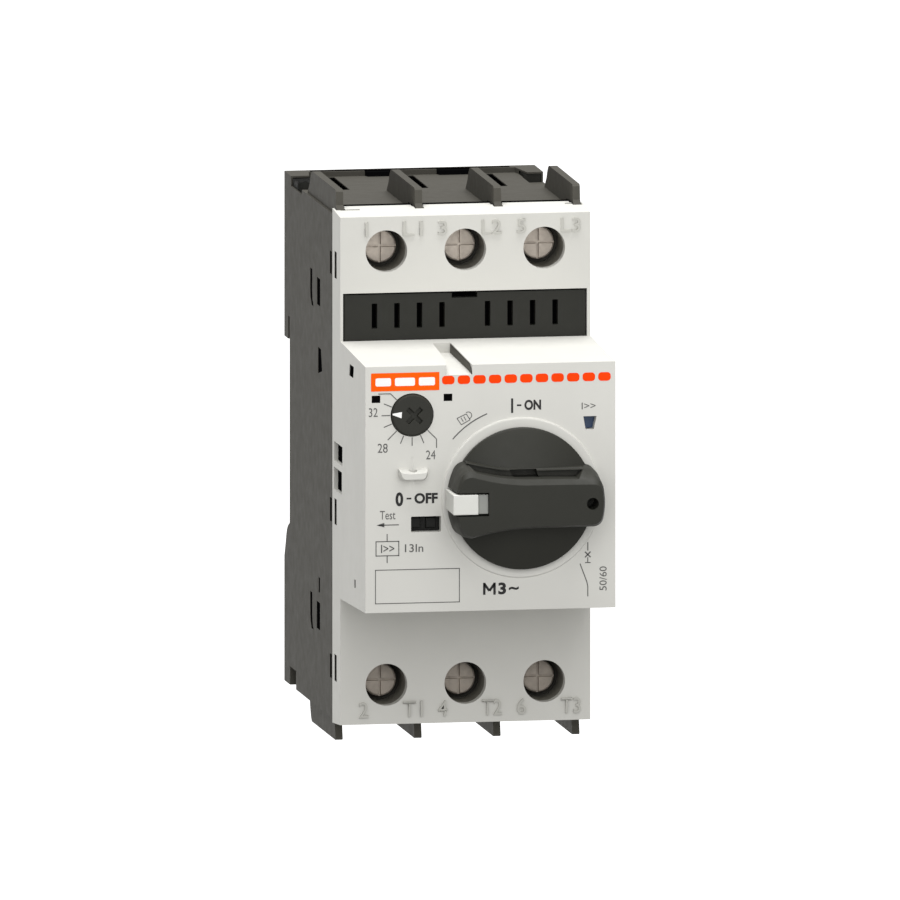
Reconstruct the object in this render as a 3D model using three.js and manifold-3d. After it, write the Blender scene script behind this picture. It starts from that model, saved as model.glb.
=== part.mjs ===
// Three-pole motor protection breaker with a rotary handle, 45 mm wide.
// Millimetres. X to the right, Z up, the front faces -Y. The origin is the middle of the
// face that rests on a 35 mm top-hat rail.
import * as THREE from 'three';
import { mergeVertices } from 'three/addons/utils/BufferGeometryUtils.js';
import Module from 'manifold-3d';

const wasm = await Module();
wasm.setup();

// Driving dimensions
const WIDTH = 45;
const HALF = WIDTH / 2;
const POLE_PITCH = 14.2;
const POLES = [-POLE_PITCH, 0, POLE_PITCH];
const WALL = 1.6;
const GAP = 0.3;

// Depths, counted from the rail seat at y = 0
const REAR_Y = 5.6;
const SPLIT_Y = -44.65;
const COVER_REAR_Y = SPLIT_Y - 0.15;
const HOUSING_FRONT_Y = SPLIT_Y + 0.15;
const FACE_Y = -53.1;
const BLOCK_Y = -79.5;

// Heights
const BASE_TOP = 45;
const BASE_BOTTOM = -45.3;
const COVER_HALF = 45.3;
const BLOCK_ROOT = 22.7;
const BLOCK_TIP = 21.9;

// Rail recess
const RAIL_HALF = 16.4;
const RAIL_GROOVE = 20.5;
const LIP_Y = 1.6;
const LATCH_ROOM = 10.6;
const LATCH_SPRING = { z: -32, length: 10.8 };

// Phase barriers
const FIN_X = [-21.3, -7.1, 7.1, 21.3];
const FIN_THICK = 1.1;
const FIN_TOP = 49.4;
const FIN_BOTTOM = -48.8;

// Terminals
const SCREW_Z = { upper: 39.3, lower: -38.3 };
const WELL_R = 3.75;
const HEAD_R = 3.1;
const HEAD_Y = -46;
const HEAD_THICK = 2.2;
const SHANK_R = 2;
const SHANK_END_Y = -11.4;
const DECK_Y = [-43.4, -41.6];
const BAR_Y = [-16, -14.5];
const CLAMP_Y = [-14.2, -11.7];

// Contacts
const CONTACT_Z = 8;
const BRIDGE_Y = [-23, -21.8];

// Front controls
const KNOB = { x: 5.5, z: -1.6, r: 12.7, reach: 13.5, y: -80.35, face: -84.7 };
const GRIP_Y = -89.2;
const TAB = { outer: 13.85, leg: 12.9, inner: -7.7, back: -87, z: [-1.6, 2], slot: [-1.9, 2.3] };
const DIAL = { x: -14.1, z: 13.6, r: 3.75 };
const TEST = { x: [-14.3, -8.9], z: [-7.4, -4.6] };
const FLAG = { x: 17.9, z: [10.3, 12.65] };

// ---- geometry helpers ----

function solid(geometry) {
  geometry.deleteAttribute('normal');
  geometry.deleteAttribute('uv');
  const merged = mergeVertices(geometry, 1e-4);
  const vertProperties = new Float32Array(merged.attributes.position.array);
  const triVerts = new Uint32Array(merged.index.array);
  return new wasm.Manifold(new wasm.Mesh({ numProp: 3, vertProperties, triVerts }));
}

function toGeometry(body) {
  const mesh = body.getMesh();
  const geometry = new THREE.BufferGeometry();
  geometry.setAttribute('position', new THREE.BufferAttribute(new Float32Array(mesh.vertProperties), 3));
  geometry.setIndex(new THREE.BufferAttribute(new Uint32Array(mesh.triVerts), 1));
  geometry.computeVertexNormals();
  return geometry;
}

function box(x, y, z) {
  const geometry = new THREE.BoxGeometry(x[1] - x[0], y[1] - y[0], z[1] - z[0]);
  geometry.translate((x[0] + x[1]) / 2, (y[0] + y[1]) / 2, (z[0] + z[1]) / 2);
  return solid(geometry);
}

function outline(points) {
  return new THREE.Shape(points.map(([u, v]) => new THREE.Vector2(u, v)));
}

function extrude(shape, depth, steps = 8) {
  return new THREE.ExtrudeGeometry(shape, { depth, bevelEnabled: false, curveSegments: steps });
}

// An outline in (y, z), extruded along X
function alongX(shape, x, steps) {
  const geometry = extrude(shape, x[1] - x[0], steps);
  geometry.applyMatrix4(new THREE.Matrix4().set(0, 0, 1, x[0], 1, 0, 0, 0, 0, 1, 0, 0, 0, 0, 0, 1));
  return solid(geometry);
}

// An outline in (x, z), extruded along Y
function alongY(shape, y, steps) {
  const geometry = extrude(shape, y[1] - y[0], steps);
  geometry.rotateX(Math.PI / 2);
  geometry.translate(0, y[1], 0);
  return solid(geometry);
}

// A round bar along Y; the front end can have its own radius
function rodY(x, z, y, radius, sides = 24, frontRadius = radius) {
  const geometry = new THREE.CylinderGeometry(radius, frontRadius, y[1] - y[0], sides);
  geometry.translate(x, (y[0] + y[1]) / 2, z);
  return solid(geometry);
}

function rodZ(x, y, z, radius, sides = 16) {
  const geometry = new THREE.CylinderGeometry(radius, radius, z[1] - z[0], sides);
  geometry.rotateX(Math.PI / 2);
  geometry.translate(x, y, (z[0] + z[1]) / 2);
  return solid(geometry);
}

function rodX(x, y, z, radius, sides = 16) {
  const geometry = new THREE.CylinderGeometry(radius, radius, x[1] - x[0], sides);
  geometry.rotateZ(Math.PI / 2);
  geometry.translate((x[0] + x[1]) / 2, y, z);
  return solid(geometry);
}

// A wire of round section along a helix about an axis parallel to Z or Y
class Helix extends THREE.Curve {
  constructor(radius, length, turns) {
    super();
    this.radius = radius;
    this.length = length;
    this.turns = turns;
  }

  getPoint(t) {
    const angle = 2 * Math.PI * this.turns * t;
    const x = this.radius * Math.cos(angle);
    const y = this.radius * Math.sin(angle);
    return new THREE.Vector3(x, y, (t - 0.5) * this.length);
  }
}

function coilSpring(radius, length, turns, wire, stepsPerTurn = 9, sides = 5) {
  const section = new THREE.Shape();
  for (let i = 0; i < sides; i += 1) {
    const angle = (2 * Math.PI * i) / sides;
    const point = [wire * Math.cos(angle), wire * Math.sin(angle)];
    if (i === 0) section.moveTo(...point);
    else section.lineTo(...point);
  }
  section.closePath();
  const settings = { steps: turns * stepsPerTurn, extrudePath: new Helix(radius, length, turns) };
  return solid(new THREE.ExtrudeGeometry(section, { ...settings, bevelEnabled: false }));
}

const union = (first, ...rest) => rest.reduce((sum, next) => sum.add(next), first);
const cut = (first, ...rest) => rest.reduce((sum, next) => sum.subtract(next), first);

// ---- materials ----

const finish = (color, roughness, metalness = 0) => ({ color, roughness, metalness });
const FINISH = {
  dark: finish(0x5c5a55, 0.6),
  light: finish(0xd0d0cb, 0.5),
  slate: finish(0x373732, 0.5),
  black: finish(0x343430, 0.45),
  navy: finish(0x1e2d44, 0.4),
  nickel: finish(0x9e968e, 0.4, 1),
  copper: finish(0xb87346, 0.35, 1),
  steel: finish(0x8d9096, 0.4, 1),
  silver: finish(0xd9dadb, 0.3, 1),
  spring: finish(0xa7aab0, 0.3, 1),
  carrier: finish(0x6f2f22, 0.6),
  latch: finish(0x2f2f2c, 0.55),
};

const breaker = new THREE.Group();

function addPart(name, body, look, position = [0, 0, 0], parent = breaker) {
  const mesh = new THREE.Mesh(toGeometry(body), new THREE.MeshStandardMaterial(look));
  mesh.name = name;
  mesh.position.set(...position);
  parent.add(mesh);
}

// ---- housing ----

// One phase barrier, seen from the side: front edge leaning, rear corner rounded
function upperFin(x) {
  const shape = new THREE.Shape();
  shape.moveTo(-13, BASE_TOP - 1);
  shape.quadraticCurveTo(-14.6, 46.4, -18.4, FIN_TOP);
  shape.lineTo(-46.4, FIN_TOP);
  shape.lineTo(-47.4, 44.4);
  shape.lineTo(-44.3, 44.4);
  shape.lineTo(-44.3, BASE_TOP - 1);
  shape.closePath();
  return alongX(shape, [x - FIN_THICK / 2, x + FIN_THICK / 2]);
}

function lowerFin(x) {
  const shape = outline([[-18.2, BASE_BOTTOM + 1], [-19.7, FIN_BOTTOM], [-44.1, FIN_BOTTOM],
    [-42.9, BASE_BOTTOM + 1]]);
  return alongX(shape, [x - FIN_THICK / 2, x + FIN_THICK / 2]);
}

// The gap for a wire, beside the terminal screw
const wireSlot = (pole) => [pole - 6.2, pole];
const WIRE_Y = [-14.1, 3.2];

function rearHousing() {
  const inner = HALF - WALL;
  const shell = box([-HALF, HALF], [HOUSING_FRONT_Y, REAR_Y], [BASE_BOTTOM, BASE_TOP]);
  const rims = [box([-HALF, HALF], [4, REAR_Y], [44, 45.8])];
  for (const side of [-1, 1]) {
    const wall = [side * (HALF - 1), side * HALF].sort((a, b) => a - b);
    rims.push(box(wall, [-3.6, REAR_Y], [44, 45.8]));
  }
  let body = union(shell, ...rims, ...FIN_X.map(upperFin), ...FIN_X.map(lowerFin));
  // Main hollow, open to the front, and the deeper ends behind the terminals
  body = cut(
    body,
    box([-inner, inner], [SPLIT_Y - 1, -2], [-43.4, 42.6]),
    box([-inner, inner], [-3, 3.8], [23, 42.6]),
    box([-inner, -LATCH_ROOM], [-3, 3.8], [-43.4, -23]),
    box([LATCH_ROOM, inner], [-3, 3.8], [-43.4, -23]),
    // Rail recess and the groove behind the upper lip
    box([-HALF - 1, HALF + 1], [0, REAR_Y + 1], [-RAIL_HALF, RAIL_HALF]),
    box([-HALF - 1, HALF + 1], [0, LIP_Y], [RAIL_HALF - 1, RAIL_GROOVE]),
    box([-HALF - 1, HALF + 1], [0, LIP_Y], [-RAIL_GROOVE, -RAIL_HALF + 1]),
  );
  // Walls between the poles, with windows for the contact carrier and the trip bar
  for (const x of [FIN_X[1], FIN_X[2]]) {
    const wall = box([x - 0.6, x + 0.6], [-42, -1], [-44, 43]);
    const carrierWindow = box([x - 1, x + 1], [-43, -17], [-5.5, 5.5]);
    body = body.add(wall.subtract(carrierWindow));
  }
  // Decks that hold the terminal screws
  for (const z of [[32, 43], [-44, -31]]) {
    body = body.add(box([-inner - 0.2, inner + 0.2], DECK_Y, z));
  }
  for (const pole of POLES) {
    for (const z of Object.values(SCREW_Z)) {
      body = body.subtract(rodY(pole, z, [-44, -41], SHANK_R + GAP, 16));
    }
    body = cut(
      body,
      box(wireSlot(pole), WIRE_Y, [42, 47]),
      box(wireSlot(pole), WIRE_Y, [-47, -43]),
    );
  }
  // Rebates that the cover's tongues lie in, and the notches beside the end barriers
  for (const pole of POLES) {
    body = body.subtract(box([pole - 6.3, pole + 6.3], [SPLIT_Y - 1, -39.8], [43.9, 46]));
  }
  for (const side of [-1, 1]) {
    const notch = [side * (HALF + 1), side * (HALF - 3.9)].sort((a, b) => a - b);
    const pocket = [side * (HALF - 1), side * (HALF - 3.9)].sort((a, b) => a - b);
    body = cut(
      body,
      box(notch, [-12.3, -3.6], [44.3, 47]),
      box(pocket, [-12.3, 3.4], [43.4, 47]),
    );
  }
  // Channel for the rail latch in the lower part of the back
  body = cut(
    body,
    box([-9, 9], [LIP_Y, REAR_Y + 1], [-46, -15]),
  );
  // Peg that the latch spring stands on
  return body.add(box([-1.6, 1.6], [LIP_Y - 0.6, 4.2], [-40.4, LATCH_SPRING.z - 6.2]));
}

function frontCover() {
  const inner = HALF - 1.8;
  let body = box([-HALF, HALF], [FACE_Y, COVER_REAR_Y], [-COVER_HALF, COVER_HALF]);
  body = body.subtract(box([-inner, inner], [FACE_Y + 2, SPLIT_Y + 1], [-43.3, 43.3]));
  const raised = outline([[FACE_Y + 1, -BLOCK_ROOT], [FACE_Y + 1, BLOCK_ROOT],
    [BLOCK_Y, BLOCK_TIP], [BLOCK_Y, -BLOCK_TIP]]);
  const room = outline([[FACE_Y + 3, -20.7], [FACE_Y + 3, 20.7],
    [BLOCK_Y + 1.8, 19.9], [BLOCK_Y + 1.8, -19.9]]);
  body = body.add(alongX(raised, [-HALF, HALF]));
  body = body.subtract(alongX(room, [-inner, inner]));
  // Screw wells
  for (const pole of POLES) {
    for (const z of Object.values(SCREW_Z)) {
      body = body.add(rodY(pole, z, [FACE_Y + 1, COVER_REAR_Y], WELL_R + 0.9, 24));
    }
  }
  for (const pole of POLES) {
    for (const z of Object.values(SCREW_Z)) {
      body = body.subtract(rodY(pole, z, [FACE_Y - 1, SPLIT_Y + 1], WELL_R, 24));
    }
    // Tongues over the housing's top edge
    const tongue = box([pole - 6, pole + 6], [SPLIT_Y - 0.5, -40.1], [44.2, COVER_HALF]);
    body = body.add(tongue);
  }
  // Notches for the feet of the barriers
  for (const x of FIN_X) {
    const side = FIN_THICK / 2 + GAP;
    body = body.subtract(box([x - side, x + side], [-47.75, SPLIT_Y + 1], [44, 46]));
  }
  // Opening of the auxiliary contact chamber
  body = body.subtract(box([-22, 21.9], [FACE_Y - 1, FACE_Y + 3], [23, 32.05]));
  // Guide channel in the top of the raised block
  const groove = new THREE.Shape();
  groove.moveTo(-7.6, 24);
  groove.lineTo(-7.6, 20.9);
  groove.lineTo(-4.6, 20.9);
  groove.quadraticCurveTo(-3.4, 20.9, -3.4, 22);
  groove.lineTo(-3.4, 24);
  groove.closePath();
  body = body.subtract(alongY(groove, [BLOCK_Y - 1, -60]));
  // Knob collar, its bearing hole, and the holes for the dial, slider and flag
  body = body.add(rodY(KNOB.x, KNOB.z, [BLOCK_Y - 0.55, BLOCK_Y + 1], 14.1, 48, 13.7));
  body = cut(
    body,
    rodY(KNOB.x, KNOB.z, [BLOCK_Y - 2, BLOCK_Y + 3], 4.5, 24),
    rodY(DIAL.x, DIAL.z, [BLOCK_Y - 1, BLOCK_Y + 3], DIAL.r + 0.15, 24),
    box(TEST.x, [BLOCK_Y - 1, BLOCK_Y + 3], TEST.z),
  );
  const window = outline([[FLAG.x - 1.2, FLAG.z[1]], [FLAG.x + 1.2, FLAG.z[1]],
    [FLAG.x + 0.75, FLAG.z[0]], [FLAG.x - 0.75, FLAG.z[0]]].reverse());
  body = body.subtract(alongY(window, [BLOCK_Y - 1, BLOCK_Y + 3]));
  for (const [x, z] of [[-20.6, 16.55], [-7.7, 16.6]]) {
    body = body.subtract(box([x - 0.72, x + 0.72], [BLOCK_Y - 1, BLOCK_Y + 1.2], [z - 0.62, z + 0.62]));
  }
  // Sealing lug left of the knob, with its wire hole
  const lug = new THREE.Shape();
  lug.moveTo(-16.5, 3.8);
  lug.quadraticCurveTo(-16.2, 1.9, -14.05, 1.9);
  lug.quadraticCurveTo(-11.9, 1.9, -11.6, 3.8);
  lug.closePath();
  body = body.add(alongY(lug, [BLOCK_Y - 2, BLOCK_Y + 0.5]));
  body = body.subtract(rodZ(-14.05, BLOCK_Y - 0.9, [0, 6], 0.6, 12));
  // Ventilation windows in the left side of the block
  for (const z of [[4.4, 7.9], [-0.8, 3.2]]) {
    body = body.subtract(box([-HALF - 1, -HALF + 1.2], [-55.5, -54], z));
  }
  return body;
}

function accessoryCover() {
  let body = box([-21.7, 21.6], [FACE_Y + 0.4, FACE_Y + 2], [23.3, 31.75]);
  const slots = [];
  for (const [first, count] of [[-16.3, 4], [4.05, 4]]) {
    for (let i = 0; i < count; i += 1) slots.push(first + i * 4.05);
  }
  for (const x of slots) {
    body = body.subtract(box([x - 0.48, x + 0.48], [FACE_Y, FACE_Y + 3], [25.5, 29.9]));
  }
  // Two snap legs hold it in the cover
  for (const x of [-19.3, 19.3]) {
    body = body.add(box([x - 1.2, x + 1.2], [FACE_Y + 1.9, FACE_Y + 6], [26, 29]));
  }
  return body.subtract(box([-2.4, 2.2], [FACE_Y, FACE_Y + 1.2], [30.9, 32]));
}

// ---- terminals ----

// A combination head: a cross with one longer slot, recessed in a shallow dish
function terminalScrew() {
  const headBack = HEAD_Y + HEAD_THICK;
  let body = rodY(0, 0, [HEAD_Y, headBack], HEAD_R, 24);
  body = body.add(rodY(0, 0, [headBack - 0.5, SHANK_END_Y], SHANK_R, 16));
  body = body.subtract(box([-HEAD_R + 0.4, HEAD_R - 0.4], [HEAD_Y - 1, HEAD_Y + 0.9], [-0.6, 0.6]));
  return body.subtract(box([-0.6, 0.6], [HEAD_Y - 1, HEAD_Y + 0.9], [-1.9, 1.9]));
}

// The box clamp behind the bar: a threaded plate with a jaw beside the screw
function boxClamp() {
  const body = box([-5.8, 5.2], CLAMP_Y, [-4.2, 2.6]);
  return body.subtract(rodY(0, 0, [CLAMP_Y[0] - 1, CLAMP_Y[1] + 1], SHANK_R + GAP, 16));
}

// A fixed bar from the terminal to the contact tip, with a hole for the screw
function contactBar(end) {
  const z = SCREW_Z[end];
  const sign = Math.sign(z);
  const far = sign * 42;
  const near = sign * (CONTACT_Z - 2);
  const plate = box([-5.4, 5.4], BAR_Y, [Math.min(far, sign * 32), Math.max(far, sign * 32)]);
  const strip = box([-3, 3], BAR_Y, [Math.min(near, sign * 33), Math.max(near, sign * 33)]);
  const tip = rodY(0, sign * CONTACT_Z, [BAR_Y[0] - 1, BAR_Y[0] + 0.5], 1.8, 16);
  const hole = rodY(0, z, [BAR_Y[0] - 1, BAR_Y[1] + 1], SHANK_R + GAP, 16);
  return union(plate, strip, tip).subtract(hole);
}

function addTerminals() {
  const ends = { upper: 'L', lower: 'T' };
  for (const [end, letter] of Object.entries(ends)) {
    POLES.forEach((pole, index) => {
      const tag = `${letter}${index + 1}`;
      const terminal = new THREE.Group();
      terminal.position.set(pole, 0, SCREW_Z[end]);
      breaker.add(terminal);
      addPart(`terminal_screw_${tag}`, terminalScrew(), FINISH.nickel, [0, 0, 0], terminal);
      addPart(`box_clamp_${tag}`, boxClamp(), FINISH.steel, [0, 0, 0], terminal);
      addPart(`contact_bar_${tag}`, contactBar(end), FINISH.copper, [pole, 0, 0]);
    });
  }
}

// ---- contacts and releases ----

function contactBridge() {
  const strip = box([-2.6, 2.6], BRIDGE_Y, [-CONTACT_Z - 2, CONTACT_Z + 2]);
  const tips = [-1, 1].map((s) => rodY(0, s * CONTACT_Z, [BRIDGE_Y[1] - 0.4, BRIDGE_Y[1] + 0.8], 1.8, 16));
  return union(strip, ...tips);
}

// The carrier: a cross bar through all poles with a finger on each bridge
function contactCarrier() {
  let body = box([-20, 20], [-31, -27], [-3, 3]);
  for (const pole of POLES) {
    body = body.add(box([pole - 4, pole + 4], [-27.5, BRIDGE_Y[0] - GAP], [-2.4, 2.4]));
    body = body.add(box([pole - 4.4, pole - 3.1], [-27.5, -20.5], [-2.4, 2.4]));
    body = body.add(box([pole + 3.1, pole + 4.4], [-27.5, -20.5], [-2.4, 2.4]));
  }
  return body.add(rodY(KNOB.x, KNOB.z, [-36, -30], 2.2, 12));
}

// A stack of splitter plates between two side cheeks
function arcChute(sign) {
  const z = [11.6, 27].map((v) => v * sign).sort((a, b) => a - b);
  let body = box([-5.4, 5.4], [-30, -17.6], z);
  for (let i = 0; i < 5; i += 1) {
    const y = -28.9 + i * 2.2;
    body = body.subtract(box([-4.6, 4.6], [y, y + 1.4], [z[0] - 1, z[1] + 1]));
  }
  return body;
}

const COIL = { z: 15.5, y: -36.6, radius: 4, length: 9, turns: 5, wire: 0.75 };

// Thick strip winding of the magnetic release, axis along Y
function tripCoil() {
  return coilSpring(COIL.radius, COIL.length, COIL.turns, COIL.wire).rotate([90, 0, 0]);
}

function tripPlunger() {
  const core = rodY(0, 0, [-4.6, 4.4], 2.4, 16);
  return core.add(rodY(0, 0, [-6.6, -4], 0.9, 12));
}

// Bimetal strip with its bent foot
function bimetal() {
  const profile = outline([[-31, -24], [-31, -22.9], [-42.6, -15.2], [-43.6, -16.2],
    [-32.4, -24]].reverse());
  return alongX(profile, [-2.4, 2.4]);
}

// Bar that all releases push; it turns on its own round ends
function tripBar() {
  let body = rodX([-20.2, 20.2], -48.6, 8, 1.2, 12);
  for (const pole of POLES) {
    body = body.add(box([pole - 1.2, pole + 1.2], [-49.4, -48], [8, 17.5]));
    body = body.add(box([pole - 1.2, pole + 1.2], [-49.4, -48], [-17, 8]));
  }
  return body;
}

// ---- mechanism ----

function mechanismFrame() {
  let body = box([-5.5, 16.5], [-73, -55], [-14, 11]);
  body = body.subtract(box([-3.9, 14.9], [-71.6, -54], [-15, 12]));
  return body.subtract(rodY(KNOB.x, KNOB.z, [-74, -70], 3.8, 24));
}

function knobShaft() {
  let body = rodY(KNOB.x, KNOB.z, [KNOB.y + GAP, -58.5], 3.4, 20);
  body = body.add(box([KNOB.x - 6.5, KNOB.x + 1], [-62, -58.5], [KNOB.z - 1.8, KNOB.z + 1.8]));
  return body;
}

function latchLever() {
  const body = box([-3.2, 14.2], [-57, -55], [6, 9]);
  return body.add(box([4, 7], [-57, -52.8], [-9, 9]));
}

// ---- controls ----

// Handle disc with a grip that flares to both ends. The grip's left end holds the padlock tab.
function rotaryKnob() {
  const disc = rodY(0, 0, [KNOB.face, KNOB.y], KNOB.r, 48, KNOB.r - 0.75);
  const grip = new THREE.Shape();
  const corner = (half) => Math.sqrt(KNOB.reach ** 2 - half ** 2);
  const turn = (half) => Math.asin(half / KNOB.reach);
  const left = 6.6;
  const right = 5.2;
  grip.moveTo(-corner(left), left);
  grip.quadraticCurveTo(-4, 4.9, 2, 4.6);
  grip.quadraticCurveTo(8, 4.4, corner(right), right);
  grip.absarc(0, 0, KNOB.reach, turn(right), -turn(right), true);
  grip.quadraticCurveTo(8, -4.4, 2, -4.6);
  grip.quadraticCurveTo(-4, -4.9, -corner(left), -left);
  grip.absarc(0, 0, KNOB.reach, Math.PI + turn(left), Math.PI - turn(left), true);
  const handle = alongY(grip, [GRIP_Y, KNOB.y]);
  const frontSlot = box([-15, TAB.inner + GAP], [GRIP_Y - 1, TAB.back + GAP], TAB.slot);
  const sideSlot = box([-15, -TAB.leg + GAP], [GRIP_Y - 1, KNOB.y + 1], TAB.slot);
  return cut(union(disc, handle), frontSlot, sideSlot, rodY(11.3, 0, [GRIP_Y - 1, GRIP_Y + 3], 1.1, 12));
}

// Padlock tab: a flat leg in the grip's front and a leg down its end; it pulls out sideways
function lockSlide() {
  const front = box([-TAB.outer, TAB.inner], [GRIP_Y - 0.05, TAB.back], TAB.z);
  const side = box([-TAB.outer, -TAB.leg], [GRIP_Y - 0.05, KNOB.y - GAP], TAB.z);
  return front.add(side);
}

function currentDial() {
  let body = rodY(0, 0, [BLOCK_Y - 0.5, BLOCK_Y + 4], DIAL.r - 0.15, 32);
  body = body.add(rodY(0, 0, [BLOCK_Y + 3.5, -66], 1.6, 12));
  body = body.subtract(box([-1.6, 1.6], [BLOCK_Y - 1, BLOCK_Y + 0.6], [-0.35, 0.35]));
  return body.subtract(box([-0.35, 0.35], [BLOCK_Y - 1, BLOCK_Y + 0.6], [-1.6, 1.6]));
}

function testSlider() {
  const plate = box([-16.6, -6.6], [BLOCK_Y + 2.1, BLOCK_Y + 3.6], [-8.4, -3.6]);
  return plate.add(box([-11.2, -9.2], [BLOCK_Y + 0.5, BLOCK_Y + 2.2], [-7.1, -4.9]));
}

function tripFlag() {
  return box([16.2, 19.6], [BLOCK_Y + 2.1, BLOCK_Y + 3.6], [9.4, 17.5]);
}

// Sprung foot that holds the lower edge of the rail
function railLatch() {
  const nose = new THREE.Shape();
  nose.moveTo(1.9, -16.6);
  nose.lineTo(1.9, -47.2);
  nose.lineTo(4.9, -47.2);
  nose.lineTo(4.9, -20.6);
  nose.lineTo(5.5, -20.6);
  nose.closePath();
  let body = alongX(nose, [-8.6, 8.6]);
  body = body.subtract(box([-3.4, 3.4], [1, 6], [-41.5, -26]));
  return body.subtract(box([-2.6, 2.6], [1, 6], [-46.2, -44]));
}

// ---- assembly ----

addPart('rear_housing', rearHousing(), FINISH.dark);
addPart('front_cover', frontCover(), FINISH.light);
addPart('accessory_cover', accessoryCover(), FINISH.slate);
addTerminals();
POLES.forEach((pole, index) => {
  const number = index + 1;
  addPart(`contact_bridge_${number}`, contactBridge(), FINISH.silver, [pole, 0, 0]);
  addPart(`upper_arc_chute_${number}`, arcChute(1), FINISH.steel, [pole, 0, 0]);
  addPart(`lower_arc_chute_${number}`, arcChute(-1), FINISH.steel, [pole, 0, 0]);
  addPart(`trip_coil_${number}`, tripCoil(), FINISH.copper, [pole, COIL.y, COIL.z]);
  addPart(`trip_plunger_${number}`, tripPlunger(), FINISH.steel, [pole, COIL.y - 0.6, COIL.z]);
  addPart(`bimetal_${number}`, bimetal(), FINISH.steel, [pole, 0, 0]);
});
addPart('contact_carrier', contactCarrier(), FINISH.carrier);
addPart('trip_bar', tripBar(), FINISH.latch);
addPart('mechanism_frame', mechanismFrame(), FINISH.steel);
addPart('knob_shaft', knobShaft(), FINISH.steel);
addPart('latch_lever', latchLever(), FINISH.steel);
addPart('main_spring', coilSpring(2, 12, 6, 0.4), FINISH.spring, [12.2, -66, -1]);
addPart('rotary_knob', rotaryKnob(), FINISH.black, [KNOB.x, 0, KNOB.z]);
addPart('lock_slide', lockSlide(), FINISH.light, [KNOB.x, 0, KNOB.z]);
addPart('current_dial', currentDial(), FINISH.black, [DIAL.x, 0, DIAL.z]);
addPart('test_slider', testSlider(), FINISH.black);
addPart('trip_flag', tripFlag(), FINISH.navy);
addPart('rail_latch', railLatch(), FINISH.latch);
addPart('latch_spring', coilSpring(1.2, LATCH_SPRING.length, 6, 0.35), FINISH.spring, [0, 3.4, LATCH_SPRING.z]);

export default breaker;
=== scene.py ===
"""Looks of a three-pole motor protection breaker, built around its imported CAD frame.

Shapes are worked out in millimetres and scaled to metres as the last step of each piece.
X is to the right, Z is up and the front faces -Y. y = 0 is the rail seat.
"""
import math

import bmesh
import bpy
from mathutils import Matrix, Vector


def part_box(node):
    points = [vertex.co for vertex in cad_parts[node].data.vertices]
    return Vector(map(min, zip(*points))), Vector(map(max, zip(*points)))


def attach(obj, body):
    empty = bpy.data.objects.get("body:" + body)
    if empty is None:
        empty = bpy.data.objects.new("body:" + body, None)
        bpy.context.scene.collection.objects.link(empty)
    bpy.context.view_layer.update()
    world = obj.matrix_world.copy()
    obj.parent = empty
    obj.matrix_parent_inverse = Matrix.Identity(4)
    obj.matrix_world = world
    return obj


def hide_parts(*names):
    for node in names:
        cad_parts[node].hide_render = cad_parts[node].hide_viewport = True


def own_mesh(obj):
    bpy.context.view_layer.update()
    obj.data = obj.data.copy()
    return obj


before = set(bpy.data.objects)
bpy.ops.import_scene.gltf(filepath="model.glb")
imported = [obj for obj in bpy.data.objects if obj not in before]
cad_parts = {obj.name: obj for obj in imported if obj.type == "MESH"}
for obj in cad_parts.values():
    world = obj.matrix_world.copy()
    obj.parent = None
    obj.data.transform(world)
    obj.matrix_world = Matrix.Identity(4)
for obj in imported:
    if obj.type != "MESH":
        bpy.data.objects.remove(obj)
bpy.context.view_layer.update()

MM = 0.001

# ---- sizes in millimetres, as in the frame ----


def span(node):
    """Lowest and highest corner of a CAD node, in millimetres."""
    return [[value / MM for value in corner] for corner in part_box(node)]


HOUSING_LOW, HOUSING_HIGH = span("rear_housing")
KNOB_LOW, KNOB_HIGH = span("rotary_knob")
DIAL_FRONT = span("current_dial")[0][1]

HALF = HOUSING_HIGH[0]          # half width of the body
REAR_Y = HOUSING_HIGH[1]
SPLIT_Y = -44.65                # joint between the housing and the cover
FACE_Y = -53.1                  # front of the terminal faces
BLOCK_Y = -79.5                 # front of the raised centre block
BASE_TOP = 45
BASE_BOTTOM = -45.3
BLOCK_ROOT = (-22.75, 23.38)    # lowest and highest z of the centre block at its root
BLOCK_TIP = (-21.7, 22.35)      # and at its front
POLES = [-14.2, 0, 14.2]
FIN_X = [-21.3, -7.1, 7.1, 21.3]
FIN_HALF = 0.66
FIN_REAR_EXTRA = 0.06
NOTCH_HALF = 0.85               # cover notches that clear the fins
SCREW_Z = {"L": 39.3, "T": -38.3}
WELL_R = 3.75
KNOB_X, KNOB_Z = 5.5, -1.6
KNOB_REAR, KNOB_FACE, GRIP_Y = KNOB_HIGH[1], -84.7, KNOB_LOW[1]
DIAL_X, DIAL_Z = -14.1, 13.6
LUG_X = -14.05
GROOVE_X = ([-9.1, -3.4], [3.8, 10.4])
PAST = 1                        # how far a cutter reaches past the body
TERMINALS = [(f"{row}{i + 1}", x, SCREW_Z[row]) for row in "LT" for i, x in enumerate(POLES)]

# ---- mesh helpers: every temporary solid is in millimetres ----

LIFT = {
    "x": lambda u, v, w: (w, u, v),
    "y": lambda u, v, w: (u, w, v),
    "z": lambda u, v, w: (u, v, w),
}


def place(name, mesh):
    obj = bpy.data.objects.new(name, mesh)
    bpy.context.scene.collection.objects.link(obj)
    return obj


def solid(name, bm):
    bmesh.ops.recalc_face_normals(bm, faces=bm.faces)
    mesh = bpy.data.meshes.new(name)
    bm.to_mesh(mesh)
    bm.free()
    return place(name, mesh)


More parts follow.
